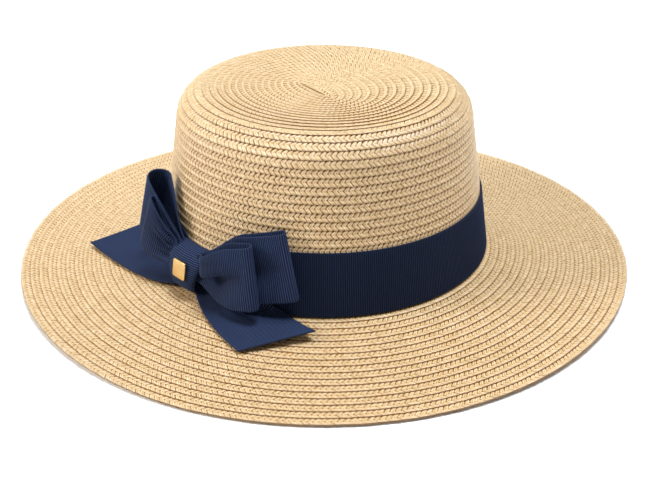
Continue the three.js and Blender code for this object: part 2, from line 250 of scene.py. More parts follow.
def on_band(along, off, z):
    """A point that follows the band: along it from the knot, off its face, and up."""
    angle = BOW_ANGLE + along / band_radius(BAND_BOTTOM)
    radius = band_radius(z) + off
    return np.stack([CROWN_X + radius * np.cos(angle), CROWN_Y + radius * np.sin(angle), z + 0 * radius], -1)


def band_dip(along):
    """How far the knot draws the band's upper edge down, by the distance from the knot."""
    return BAND_PINCH * bump_at(along, 0, BAND_PINCH_LENGTH)


# Mesh making

def make_object(name, points, faces, materials, smooth_faces=True):
    """A mesh object in the scene from points in millimetres."""
    mesh = bpy.data.meshes.new(name)
    mesh.from_pydata((np.asarray(points) * MM).tolist(), [], faces)
    for material in materials:
        mesh.materials.append(material)
    mesh.polygons.foreach_set("use_smooth", [smooth_faces] * len(mesh.polygons))
    mesh.validate()
    piece = bpy.data.objects.new(name, mesh)
    bpy.context.scene.collection.objects.link(piece)
    return piece


def store(piece, name, kind, values):
    """Keeps a value for each point of a mesh."""
    field = {"FLOAT": "value", "FLOAT_VECTOR": "vector"}[kind]
    layer = piece.data.attributes.new(name, kind, "POINT")
    layer.data.foreach_set(field, np.asarray(values, dtype=np.float32).ravel())


def closed_ring(name, rings, materials):
    """A closed solid of revolution: each ring of points is joined to the next, the last to the first."""
    count = len(rings[0])
    rows = len(rings)
    points = np.concatenate(rings)
    faces = []
    for ring in range(rows):
        low, high = ring * count, ((ring + 1) % rows) * count
        for i in range(count):
            j = (i + 1) % count
            faces.append((low + i, low + j, high + j, high + i))
    return make_object(name, points, faces, materials)


# Node helpers

class Nodes:
    """Adds nodes to a tree and joins them."""

    def __init__(self, tree):
        self.tree = tree

    def add(self, kind, settings=None, **inputs):
        node = self.tree.nodes.new(kind)
        for key, value in (settings or {}).items():
            setattr(node, key, value)
        for key, value in inputs.items():
            self.set(node, key.replace("_", " "), value)
        return node

    def set(self, node, key, value):
        socket = node.inputs[key]
        if isinstance(value, bpy.types.NodeSocket):
            self.tree.links.new(value, socket)
        else:
            socket.default_value = value

    def math(self, operation, a, b=0.0, c=0.0):
        node = self.add("ShaderNodeMath", {"operation": operation})
        for index, value in enumerate((a, b, c)):
            self.set(node, index, value)
        return node.outputs[0]

    def attribute(self, name):
        return self.add("ShaderNodeAttribute", {"attribute_name": name}).outputs["Fac"]

    def ramp(self, value, *stops):
        node = self.add("ShaderNodeValToRGB", Fac=value)
        ramp = node.color_ramp
        while len(ramp.elements) < len(stops):
            ramp.elements.new(0.5)
        for element, (place, colour) in zip(ramp.elements, stops):
            element.position = place
            element.color = (*colour, 1)
        return node.outputs["Color"]

    def blend(self, share, a, b):
        node = self.add("ShaderNodeMix", {"data_type": "RGBA"})
        self.set(node, 0, share)
        for index, value in ((6, a), (7, b)):
            self.set(node, index, (*value, 1) if isinstance(value, tuple) else value)
        return node.outputs[2]

    def bump(self, shader, strength, distance, height):
        node = self.add("ShaderNodeBump", Strength=strength, Distance=distance, Height=height)
        self.set(shader, "Normal", node.outputs[0])

    def noise(self, vector, scale, detail=2.0, rough=0.5):
        node = self.add("ShaderNodeTexNoise", Vector=vector, Scale=scale, Detail=detail, Roughness=rough)
        return node.outputs["Fac"]

    def stretched(self, vector, scale):
        node = self.add("ShaderNodeMapping", Vector=vector)
        node.inputs["Scale"].default_value = scale
        return node.outputs["Vector"]


def new_material(name):
    """A new material with the way to add its nodes and its main shader."""
    material = bpy.data.materials.new(name)
    material.use_nodes = True
    nodes = Nodes(material.node_tree)
    shader = material.node_tree.nodes["Principled BSDF"]
    return material, nodes, shader


def object_place(nodes):
    """Where a point lies on its object, in metres."""
    return nodes.add("ShaderNodeTexCoord").outputs["Object"]


# Materials

STRAW_TONES = (
    (0.0, (0.52, 0.33, 0.125)),
    (0.3, (0.67, 0.455, 0.20)),
    (0.6, (0.74, 0.525, 0.26)),
    (0.85, (0.76, 0.52, 0.29)),
    (1.0, (0.82, 0.65, 0.40)),
)
STRAW_PATCH = (0.66, 0.50, 0.30)
STRAW_FIBRE = (0.86, 0.72, 0.48)
# Painted shade at each strand's edges, where it meets its neighbour
STRAW_EDGE_SHADE = (0.33, 0.17, 0.035)
# Dark brown painted shade: the line under each row's edge and the notches between strands
STRAW_SHADE = (0.15, 0.055, 0.004)
STRAW_SPECK = (0.36, 0.18, 0.045)
# Dark brown painted shade for the closed base where it shows between the strands and under each row's edge
GAP_SHADE_TONES = ((0.3, (0.08, 0.028, 0.001)), (0.7, (0.24, 0.095, 0.006)))
# The band's pair: painted shade in the rib valleys and painted light on the crests, both painted darker than
# the bow's as shade
BAND_PAINTED_VALLEY_SHADE = (0.0002, 0.0005, 0.0016)
BAND_PAINTED_CREST_IN_SHADE = (0.012, 0.024, 0.069)
# The bow's pair: painted shade in the rib valleys, painted light on the rib crests
BOW_PAINTED_VALLEY_SHADE = (0.0003, 0.0006, 0.0022)
BOW_PAINTED_CREST_LIGHT = (0.035, 0.059, 0.145)
GOLD_DULL = (0.68, 0.47, 0.20)
GOLD_BRIGHT = (0.78, 0.58, 0.29)


def straw_strand():
    """Plaited paper straw: each strand has its own tan and fine fibres along it, with painted shade at its
    edges and at the rows' risers and notches.
    """
    material, nodes, shader = new_material("plaited straw")
    place = object_place(nodes)
    tone = nodes.math("ADD", nodes.attribute("strand_tone"), nodes.attribute("strand_own"))
    tone = nodes.math("FRACT", tone)
    across = nodes.attribute("strand_across")
    along = nodes.attribute("strand_along")
    base = nodes.ramp(tone, *STRAW_TONES)
    patches = nodes.noise(place, 60.0, 2.0)
    base = nodes.blend(nodes.math("MULTIPLY", patches, 0.22), base, STRAW_PATCH)
    fibre_place = nodes.add("ShaderNodeCombineXYZ", X=nodes.math("MULTIPLY", across, 9.0), Y=along, Z=tone)
    fibres = nodes.noise(fibre_place.outputs[0], 3.0, 3.0, 0.6)
    base = nodes.blend(nodes.math("MULTIPLY", fibres, 0.25), base, STRAW_FIBRE)
    # Painted shade towards each strand's two edges
    edge = nodes.math("POWER", nodes.math("ABSOLUTE", across), 4.0)
    base = nodes.blend(nodes.math("MULTIPLY", edge, 0.5), base, STRAW_EDGE_SHADE)
    # Painted shade where strand_shade is high: the riser line under each row's edge and the notches
    base = nodes.blend(nodes.attribute("strand_shade"), base, STRAW_SHADE)
    specks = nodes.ramp(nodes.noise(place, 1300.0, 2.0), (0.58, (0, 0, 0)), (0.70, (0.6, 0.6, 0.6)))
    base = nodes.blend(specks, base, STRAW_SPECK)
    shader.inputs["Roughness"].default_value = 0.42
    nodes.set(shader, "Base Color", base)
    shader.inputs["Specular IOR Level"].default_value = 1.0
    shader.inputs["Sheen Weight"].default_value = 0.15
    nodes.bump(shader, 0.35, 0.1 * MM, fibres)
    return material


def straw_shadow():
    """The straw seen down between the strands and under each row's edge, painted dark brown as shade."""
    material, nodes, shader = new_material("straw in the gaps, painted shade")
    place = object_place(nodes)
    specks = nodes.noise(place, 900.0, 2.0)
    nodes.set(shader, "Base Color", nodes.ramp(specks, *GAP_SHADE_TONES))
    shader.inputs["Roughness"].default_value = 0.8
    shader.inputs["Specular IOR Level"].default_value = 0.2
    nodes.bump(shader, 0.4, 0.2 * MM, specks)
    return material


def grosgrain(name, deep, lit):
    """Ribbed ribbon: ribs across it, warp threads between them, and a low sheen on the ribs. Its colour is
    painted light on each rib's crest and painted shade in the valleys between.
    """
    material, nodes, shader = new_material(name)
    place = object_place(nodes)
    along = nodes.attribute("ribbon_along")
    across = nodes.attribute("ribbon_across")
    rib = nodes.math("COSINE", nodes.math("MULTIPLY", along, 2 * math.pi / RIB))
    crest = nodes.math("POWER", nodes.math("MULTIPLY_ADD", rib, 0.5, 0.5), 3.0)
    threads = nodes.math("SINE", nodes.math("MULTIPLY", across, 2 * math.pi / WARP))
    fuzz = nodes.noise(place, 2500.0, 2.0)
    worn = nodes.noise(place, 45.0, 3.0)
    # Painted light and shade on the ribs: crest colour on each rib's top, valley colour between
    colour = nodes.blend(crest, deep, lit)
    colour = nodes.blend(nodes.math("MULTIPLY", fuzz, 0.12), colour, tuple(1.5 * c for c in lit))
    colour = nodes.blend(nodes.math("MULTIPLY", worn, 0.08), colour, tuple(1.2 * c for c in lit))
    nodes.set(shader, "Base Color", colour)
    shader.inputs["Roughness"].default_value = 0.62
    shader.inputs["Specular IOR Level"].default_value = 0.1
    shader.inputs["Sheen Weight"].default_value = 0.05
    shader.inputs["Sheen Roughness"].default_value = 0.4
    shader.inputs["Sheen Tint"].default_value = (0.35, 0.45, 0.8, 1)
    height = nodes.math("MULTIPLY_ADD", threads, 0.25, crest)
    height = nodes.math("MULTIPLY_ADD", fuzz, 0.4, height)
    nodes.bump(shader, 0.8, 0.16 * MM, height)
    return material


def gold_plate():
    """Bare gold-tone metal with a faint brush and soft smudges."""
    material, nodes, shader = new_material("gold tone metal")
    place = object_place(nodes)
    brush = nodes.noise(nodes.stretched(place, (200.0, 200.0, 6000.0)), 1.0, 2.0)
    smudge = nodes.noise(place, 350.0, 2.0)
    nodes.set(shader, "Base Color", nodes.blend(smudge, GOLD_DULL, GOLD_BRIGHT))
    shader.inputs["Metallic"].default_value = 1.0
    nodes.set(shader, "Roughness", nodes.math("MULTIPLY_ADD", smudge, 0.08, 0.26))
    nodes.bump(shader, 0.15, 0.05 * MM, brush)
    return material


STRAW = straw_strand()
GAP_SHADE = straw_shadow()
# The band's navy is the bow's grosgrain painted darker, as shade
BAND_CLOTH = grosgrain("navy band grosgrain", BAND_PAINTED_VALLEY_SHADE, BAND_PAINTED_CREST_IN_SHADE)
BOW_CLOTH = grosgrain("navy bow grosgrain", BOW_PAINTED_VALLEY_SHADE, BOW_PAINTED_CREST_LIGHT)
GOLD = gold_plate()


# Braid

# The two arms of a stitch: where each starts and ends, as shares of the row's width and of the
# stitch's length. Then, at places along it: how far its strands lie apart, their share of full width,
# their drop in millimetres and how much painted shade they carry, darkest at the riser under a row's edge.
ARMS = (
    dict(
        row=(-0.60, 0.04), lead=(-0.34, 0.52),
        along=(0.0, 0.34, 0.64, 1.0), apart=(0.45, 0.7, 1.0, 1.0),
        wide=(0.5, 0.76, 0.95, 0.9),
        drop=(0.10, 0.03, -0.05, 0.18), shade=(0.4, 0.1, 0.0, 0.15),
    ),
    dict(
        row=(0.53, -0.06), lead=(-0.30, 0.52),
        along=(0.0, 0.025, 0.08, 0.55, 1.0), apart=(0.9, 1.0, 1.0, 1.0, 1.0),
        wide=(0.9, 0.94, 0.95, 0.95, 0.9),
        drop=(0.66, 0.26, 0.05, -0.03, 0.26), shade=(1.0, 0.9, 0.1, 0.0, 0.2),
    ),
)


def plait_pair(name, strands, notch):
    """The crossing strands of one stitch: X is the row's heading and Y runs across the row."""
    points, faces, marks = [], [], []
    for arm in ARMS:
        for strand in range(strands):
            first = len(points)
            own = (2 * strand + 1) / strands - 1
            tone = TONE_SHIFT * len(marks) / 12
            kept = slice(None) if strands > 1 else [0, 2, -1]
            table = np.array([arm[key] for key in ("along", "apart", "wide", "drop", "shade")]).T[kept]
            for u, apart, wide, drop, shade in table:
                apart = mix(1.0, apart, notch)
                wide = mix(STRAND_WIDTH, wide, notch)
                for v in (-1.0, 0.0, 1.0):
                    spot = own + v / strands
                    rise = STRAND_RISE * (1 - abs(v) * 0.85) - ARM_ROUNDING * spot * spot
                    x = STITCH * (mix(*arm["lead"], u) + 0.5 * (own * apart + wide * v / strands))
                    points.append((x, BRIM_ROW * mix(*arm["row"], u), rise - drop))
                    # strand_shade: painted shade from the table at the riser and notches, plus painted shade
                    # towards the arm's edges
                    marks.append((u, v, min(1.0, shade + 0.6 * notch * spot ** 4), tone))
            for i in range(len(table) - 1):
                for j in range(2):
                    a = first + i * 3 + j
                    quad = (a, a + 1, a + 4, a + 3)
                    faces.append(quad if arm["row"][0] < 0 else quad[::-1])
    piece = make_object(name, points, faces, [STRAW])
    for index, mark in enumerate(("strand_along", "strand_across", "strand_shade", "strand_own")):
        store(piece, mark, "FLOAT", [m[index] for m in marks])
    bpy.context.scene.collection.objects.unlink(piece)
    return piece


def plait_tree():
    """Lays the plaited strands along a row's guide points and turns the result to one mesh."""
    tree = bpy.data.node_groups.new("plaited rows", "GeometryNodeTree")
    face = tree.interface
    face.new_socket("Guide points", in_out="INPUT", socket_type="NodeSocketGeometry")
    sockets = {
        "strands": face.new_socket("Strand pair", in_out="INPUT", socket_type="NodeSocketObject"),
        "turn": face.new_socket("Unevenness of turn", in_out="INPUT", socket_type="NodeSocketFloat"),
        "size": face.new_socket("Unevenness of size", in_out="INPUT", socket_type="NodeSocketFloat"),
        "seed": face.new_socket("Seed", in_out="INPUT", socket_type="NodeSocketInt"),
        "finish": face.new_socket("Finish", in_out="INPUT", socket_type="NodeSocketMaterial"),
    }
    face.new_socket("Braid", in_out="OUTPUT", socket_type="NodeSocketGeometry")
    nodes = Nodes(tree)
    into = nodes.add("NodeGroupInput").outputs

    def named(name):
        kind = {"data_type": "FLOAT_VECTOR"}
        return nodes.add("GeometryNodeInputNamedAttribute", kind, Name=name).outputs[0]

    def chance(low, high, shift):
        node = nodes.add("FunctionNodeRandomValue", {"data_type": "FLOAT"})
        nodes.set(node, 2, low)
        nodes.set(node, 3, high)
        nodes.set(node, "Seed", nodes.math("ADD", into["Seed"], float(shift)))
        return node.outputs[1]

    facing = nodes.add("FunctionNodeAxesToRotation", {"primary_axis": "Z", "secondary_axis": "X"})
    nodes.set(facing, 0, named("row_up"))
    nodes.set(facing, 1, named("row_along"))
    sway = nodes.math("MULTIPLY", chance(-1.0, 1.0, 1), into["Unevenness of turn"])
    twist = nodes.add("FunctionNodeAxisAngleToRotation")
    nodes.set(twist, "Axis", (0.0, 0.0, 1.0))
    nodes.set(twist, "Angle", sway)
    turned = nodes.add("FunctionNodeRotateRotation", {"rotation_space": "LOCAL"})
    nodes.set(turned, 0, facing.outputs[0])
    nodes.set(turned, 1, twist.outputs[0])
    swell = nodes.math("MULTIPLY_ADD", chance(-1.0, 1.0, 2), into["Unevenness of size"], 1.0)
    scale = nodes.add("ShaderNodeVectorMath", {"operation": "SCALE"})
    nodes.set(scale, 0, named("stitch_size"))
    nodes.set(scale, "Scale", swell)
    pair = nodes.add("GeometryNodeObjectInfo", {"transform_space": "ORIGINAL"})
    nodes.set(pair, "Object", into["Strand pair"])
    laid = nodes.add("GeometryNodeInstanceOnPoints")
    nodes.set(laid, "Points", into["Guide points"])
    nodes.set(laid, "Instance", pair.outputs["Geometry"])
    nodes.set(laid, "Rotation", turned.outputs[0])
    nodes.set(laid, "Scale", scale.outputs[0])
    toned = nodes.add("GeometryNodeStoreNamedAttribute", {"data_type": "FLOAT", "domain": "INSTANCE"})
    nodes.set(toned, "Geometry", laid.outputs[0])
    nodes.set(toned, "Name", "strand_tone")
    nodes.set(toned, "Value", chance(0.0, 1.0, 3))
    real = nodes.add("GeometryNodeRealizeInstances")
    nodes.set(real, "Geometry", toned.outputs[0])
    finish = nodes.add("GeometryNodeSetMaterial")
    nodes.set(finish, "Geometry", real.outputs[0])
    nodes.set(finish, "Material", into["Finish"])
    nodes.set(nodes.add("NodeGroupOutput"), 0, finish.outputs[0])
    return tree, {key: socket.identifier for key, socket in sockets.items()}


PLAIT, PLAIT_INPUTS = plait_tree()


def braid_rows(name, surface, rows, seed, depth, notch, outward=1, keep=None, strands=2):
    """Plaited strands over the rows of a surface. A row is its two edges, by distance, and its step."""
    places, headings, ups, sizes = [], [], [], []
    fine = np.linspace(0, 2 * math.pi, 721)
    for number, (start, end, step) in enumerate(rows):
        middle = surface((start + end) / 2, fine, step / 2)
        steps = np.linalg.norm(np.diff(middle, axis=0), axis=1)
        length = np.concatenate([[0], np.cumsum(steps)])
        count = max(6, int(round(length[-1] / STITCH)))
        at = (np.arange(count) + ROW_SHIFT * number % 1) / count * length[-1]
        angle = np.interp(at, length, fine)
        place = surface((start + end) / 2, angle, step / 2 - BASE_SINK)
        heading = surface((start + end) / 2, angle + 0.01, 0) - surface((start + end) / 2, angle - 0.01, 0)
        across = surface(end, angle, step) - surface(start, angle, 0)
        width = np.linalg.norm(across, axis=1, keepdims=True)
        heading /= np.linalg.norm(heading, axis=1, keepdims=True)
        up = np.cross(across / width, heading) * outward
        up /= np.linalg.norm(up, axis=1, keepdims=True)
        pitch = length[-1] / count / STITCH
        shown = np.ones(count, bool) if keep is None else keep(place, angle)
        places.append(place[shown])
        headings.append(np.cross(across / width, up)[shown])
        ups.append(up[shown])
        sizes.append(np.concatenate([0 * width + pitch, width / BRIM_ROW, 0 * width + depth], 1)[shown])
    guide = make_object(name + "_guide", np.concatenate(places), [], [STRAW])
    store(guide, "row_along", "FLOAT_VECTOR", np.concatenate(headings))
    store(guide, "row_up", "FLOAT_VECTOR", np.concatenate(ups))
    store(guide, "stitch_size", "FLOAT_VECTOR", np.concatenate(sizes))
    pair = plait_pair(name + "_pair", strands, notch)
    layer = guide.modifiers.new("plait", "NODES")
    layer.node_group = PLAIT
    values = {"strands": pair, "turn": TURN_SPREAD, "size": SIZE_SPREAD, "seed": seed, "finish": STRAW}
    for key, value in values.items():
        layer[PLAIT_INPUTS[key]] = value
    made = bpy.data.meshes.new_from_object(guide.evaluated_get(bpy.context.evaluated_depsgraph_get()))
    made.polygons.foreach_set("use_smooth", [True] * len(made.polygons))
    piece = bpy.data.objects.new(name, made)
    bpy.context.scene.collection.objects.link(piece)
    bpy.data.objects.remove(guide)
    bpy.data.objects.remove(pair)
    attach(piece, "root")
    return piece


ROUND = np.linspace(0, 2 * math.pi, 181)[:-1]


def brim_rows(outer):
    """The brim's rows, counted in from its edge to the crown's foot."""
    edges = [outer]
    while edges[-1] - BRIM_ROW > HEAD_RADIUS:
        edges.append(edges[-1] - BRIM_ROW)
    edges = edges[::-1]
    return [(start, end, ROW_STEP) for start, end in zip(edges[:-1], edges[1:])]


def stepped(surface, rows):
    """Rings of a shingled surface: low at each row's inner edge, proud at its outer edge."""
    rings = []
    for start, end, step in rows:
        rings.append(surface(start + 0.15, ROUND, -BASE_SINK))
        rings.append(surface(end, ROUND, step - BASE_SINK - EDGE_FALL))
    return rings


def below_flat(radius, angle, off):
    """The brim's underside, whose rows are flatter so that the hat still lies flat."""
    return brim_below(radius, angle, off * BELOW_STEP - HIDDEN_SINK)


def inside_flat(s, angle, off):
    """The crown's inside, whose rows are flatter too."""
    return crown_in(s, angle, off * INSIDE_STEP - 0.1)


def over_band(place, angle):
    """Whether a stitch shows over the band's upper edge, which dips at the knot."""
    turns = (angle - BOW_ANGLE) / (2 * math.pi)
    along = (turns - np.round(turns)) * 2 * math.pi * FOOT_RADIUS
    return place[:, 2] > BAND_TOP - band_dip(along) - BAND_COVER


# How thick the strands lie and how deep they notch a row's edge, which also sets how strong the painted shade
# at the notches and arm edges is
BRIM_PLAIT = dict(depth=0.9, notch=0.5)
TIP_PLAIT = dict(depth=0.55, notch=0.25)
WALL_PLAIT = dict(depth=1.25, notch=1.1, keep=over_band)
HIDDEN_PLAIT = dict(depth=0.8, notch=0.5, outward=-1, strands=1)


def make_brim():
    """The brim's closed base, stepped from row to row, and the strands on both of its faces."""
    rows = brim_rows(BRIM_RADIUS)
    below = brim_rows(BRIM_RADIUS - BELOW_INSET)
    edge = BRIM_RADIUS - RIM_INSET
    top = [brim_top(HEAD_RADIUS, ROUND, -BASE_SINK)] + stepped(brim_top, rows)
    top[-1] = brim_top(edge, ROUND, ROW_STEP - BASE_SINK - 0.35)
    rim = [brim_top(BRIM_RADIUS - 1.0, ROUND, -0.9)]
    under = [brim_below(radius, ROUND, -HIDDEN_SINK) for radius in np.linspace(edge, HEAD_RADIUS, 30)]
    base = closed_ring("brim_base", (top + rim + under)[::-1], [GAP_SHADE])
    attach(base, "root")
    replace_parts(base, "brim")
    seen = [row for row in rows if row[1] > band_radius(CROWN_BASE)]
    half = len(seen) // 2 + 2
    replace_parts(braid_rows("brim_braid_inner", brim_top, seen[:half], 11, **BRIM_PLAIT), "brim")
    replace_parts(braid_rows("brim_braid_outer", brim_top, seen[half:], 12, **BRIM_PLAIT), "brim")
    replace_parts(braid_rows("brim_braid_below", below_flat, below, 13, **HIDDEN_PLAIT), "brim")


def make_crown():
    """The crown's closed base and its strands: shallow on the tip, deep on the wall, plain on the inside."""
    edges = np.arange(FIRST_CROWN_ROW, CROWN_LENGTH - 1, CROWN_ROW)
    edges = [FIRST_CROWN_ROW * 0.02, *edges, CROWN_LENGTH - 0.2]
    steps = [mix(TIP_STEP, ROW_STEP, smooth((edge - TIP_RADIUS / 4) / 40)) for edge in edges]
    rows = list(zip(edges[:-1], edges[1:], steps))
    outside = stepped(on_crown, rows)
    outside[0] = on_crown(0.05, ROUND, -BASE_SINK)
    inside = [crown_in(s, ROUND, -HIDDEN_SINK) for s in np.linspace(CROWN_LENGTH, 0.05, 40)]
    foot = [on_crown(CROWN_LENGTH, ROUND, -0.6)]
    base = closed_ring("crown_base", (outside + foot + inside)[::-1], [GAP_SHADE])
    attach(base, "root")
    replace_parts(base, "crown")
    heights = [np.interp(end, SECTION_S, SECTION_Z) for _, end, _ in rows]
    seen = [row for row, height in zip(rows, heights) if height > BAND_TOP - BAND_PINCH - 6]
    seen[0] = (SLIT_GAP, *seen[0][1:])
    tip = slice(None, TIP_ROWS)
    wall = slice(TIP_ROWS, None)
    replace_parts(braid_rows("crown_braid_tip", on_crown, seen[tip], 21, **TIP_PLAIT), "crown")
    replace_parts(braid_rows("crown_braid_wall", on_crown, seen[wall], 22, **WALL_PLAIT), "crown")
    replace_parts(braid_rows("crown_braid_inside_tip", inside_flat, rows[tip], 23, **HIDDEN_PLAIT), "crown")
    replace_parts(braid_rows("crown_braid_inside_wall", inside_flat, rows[wall], 24, **HIDDEN_PLAIT), "crown")


make_brim()
make_crown()


# Ribbon

def ribbon_piece(name, surface, width, material, flip=False, inner=11):
    """A closed ribbed sheet over surface(u, v): u from 0 to 1 along the ribbon, v from -1 to 1 across it."""
    fine = np.linspace(0, 1, 401)
    probe = surface(fine[:, None], np.array([[0.0]]))[:, 0]
    run = np.concatenate([[0], np.cumsum(np.linalg.norm(np.diff(probe, axis=0), axis=1))])
    at = np.append(np.arange(0, run[-1] - 0.1, RIB / RIB_CUTS), run[-1])
    u = np.interp(at, run, fine)[:, None]
    v = np.concatenate([[-1, -0.97, -0.93], np.linspace(-0.85, 0.85, inner), [0.93, 0.97, 1]])[None, :]
    middle = surface(u, v)
    du = np.gradient(middle, axis=0)
    dv = np.gradient(middle, axis=1)
    normal = np.cross(du, dv)
    normal /= np.maximum(np.linalg.norm(normal, axis=2, keepdims=True), 1e-9)
    body = smooth((1 - np.abs(v)) / SELVEDGE)
    rib = RIB_RISE * np.cos(2 * math.pi * at / RIB)[:, None] * body
    half = RIBBON_THICKNESS / 2 * mix(0.85, 1.0, body) + rib
    half = half + SELVEDGE_RISE * bump_at(np.abs(v), 0.95, 0.03)
    front = middle + normal * half[..., None]
    back = middle - normal * half[..., None]
    rows, columns = middle.shape[:2]
    size = rows * columns
    grid = np.arange(size).reshape(rows, columns)
    a, b, c, d = grid[:-1, :-1], grid[1:, :-1], grid[1:, 1:], grid[:-1, 1:]
    quads = np.stack([a, b, c, d], -1).reshape(-1, 4)
    border = np.concatenate([grid[:-1, 0], grid[-1, :-1], grid[:0:-1, -1], grid[0, :0:-1]])
    after = np.roll(border, -1)
    sides = np.stack([border, border + size, after + size, after], -1)
    faces = np.concatenate([quads, (quads + size)[:, ::-1], sides])
    if flip:
        faces = faces[:, ::-1]
    points = np.concatenate([front.reshape(-1, 3), back.reshape(-1, 3)])
    piece = make_object(name, points, faces.tolist(), [material])
    store(piece, "ribbon_along", "FLOAT", np.tile(np.repeat(at, columns), 2))
    store(piece, "ribbon_across", "FLOAT", np.tile(np.tile(v[0] * width / 2, rows), 2))
    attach(piece, "root")
    return piece, run[-1]


def declare(piece, length, node):
    """Hides the solid part that a sheet stands for. Its length is not used."""
    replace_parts(piece, node)


def band_surface(u, v):
    """Once round the crown from behind the knot, its upper edge drawn down where the knot gathers it."""
    around = (u - 0.5) * 2 * math.pi * band_radius(BAND_BOTTOM)
    full = around + math.pi * band_radius(BAND_BOTTOM)
    near = np.minimum(full, 2 * math.pi * band_radius(BAND_BOTTOM) - full)
    height = (v + 1) / 2
    z = BAND_BOTTOM + height * (BAND_HEIGHT - band_dip(near))
    folds = 0.35 * bump_at(near, 0, 30) * np.sin(9 * v + 1.3)
    return on_band(full + 0 * v, folds - RIBBON_THICKNESS / 2 + 0 * full, z)


band, band_run = ribbon_piece("hat_band_ribbon", band_surface, RIBBON, BAND_CLOTH, inner=7)
declare(band, band_run, "hat_band")

# The knot's half width as a share of KNOT_WIDTH, at shares of its height
KNOT_HALF = np.array([
    [0.0, 0.37], [0.12, 0.39], [0.32, 0.43], [0.55, 0.5], [0.78, 0.59], [0.93, 0.62], [1.0, 0.62],
])

# The way of the ribbon round the knot, in shares of its height and of its depth
KNOT_PATH = np.array([
    [0.00, 0.06], [0.02, 0.30], [0.06, 0.60], [0.16, 0.86], [0.32, 0.97], [0.55, 1.0],
    [0.76, 0.93], [0.90, 0.76], [0.975, 0.52], [1.0, 0.30], [1.0, 0.10],
])


def knot_half(z):
    """Half of the knot's width at a height."""
    share = (z - KNOT_FOOT) / KNOT_HEIGHT
    return KNOT_WIDTH * np.interp(share, KNOT_HALF[:, 0], KNOT_HALF[:, 1])


def knot_surface(u, v):
    """Up the front of the knot, over its top and back to the band; the sides turn back towards the band."""
    runs = np.diff(KNOT_PATH, axis=0) * [KNOT_HEIGHT, KNOT_DEPTH]
    steps = np.concatenate([[0], np.cumsum(np.hypot(*runs.T))])
    fine = np.linspace(0, steps[-1], 60)
    share = np.interp(fine, steps, KNOT_PATH[:, 0])
    depth = np.interp(fine, steps, KNOT_PATH[:, 1])
    for _ in range(3):
        share[1:-1] = (share[:-2] + share[1:-1] * 2 + share[2:]) / 4
        depth[1:-1] = (depth[:-2] + depth[1:-1] * 2 + depth[2:]) / 4
    where = u * steps[-1]
    z = KNOT_FOOT + KNOT_HEIGHT * np.interp(where, fine, share)
    out = KNOT_DEPTH * np.interp(where, fine, depth)
    half = knot_half(z)
    bend = np.abs(v) ** 5
    side = np.sign(v) * np.abs(v) ** 0.92
    creases = 0.22 * np.sin(6.5 * v + 1.0) * smooth(1 - np.abs(v))
    along = half * side * (1 - 0.06 * bend)
    off = out * (1 - 0.22 * bend) + creases
    return on_band(along, np.maximum(off, 0.4), z + 0 * v - 0.8 * bend)


knot, knot_run = ribbon_piece("bow_knot_wrap", knot_surface, KNOT_WIDTH, BOW_CLOTH)
declare(knot, knot_run, "bow_knot")

# Each loop goes out from the knot, folds and comes back in front of itself. reach, climb and width are
# shares of the ribbon's width. near and far say how far its two legs lie off the band at the knot and at
# the fold, in shares of the knot's depth. lean is in degrees. gather, puff and slit are in millimetres.
# spread says how soon the loop opens from the knot, folds how close its gathers lie.
LOOPS = {
    "bow_loop_right_back": dict(
        side=1, reach=1.71, climb=0.33, width=1.0, lean=12, spread=1.8,
        near_in=0.28, near_out=0.44, far_in=0.28, far_out=0.70,
        pleat=1.1, gather=0.5, folds=8.5, puff=0.0, slit=3.4,
    ),
    "bow_loop_right_front": dict(
        side=1, reach=1.27, climb=0.21, width=0.92, lean=8, spread=1.3,
        near_in=0.52, near_out=0.66, far_in=0.90, far_out=1.42,
        pleat=0.8, gather=0.5, folds=8.5, puff=7.0, slit=5.6,
    ),
    "bow_loop_left_back": dict(
        side=-1, reach=1.19, climb=0.54, width=0.97, lean=14, spread=1.15,
        near_in=0.28, near_out=0.44, far_in=0.30, far_out=1.30,
        pleat=0.2, gather=0.5, folds=8.5, puff=0.0, slit=0.0,
    ),
    "bow_loop_left_front": dict(
        side=-1, reach=0.70, climb=0.46, width=0.86, lean=16, spread=1.15,
        near_in=0.52, near_out=0.66, far_in=1.30, far_out=1.55,
        pleat=0.5, gather=2.2, folds=13.0, puff=1.6, slit=1.5,
    ),
}


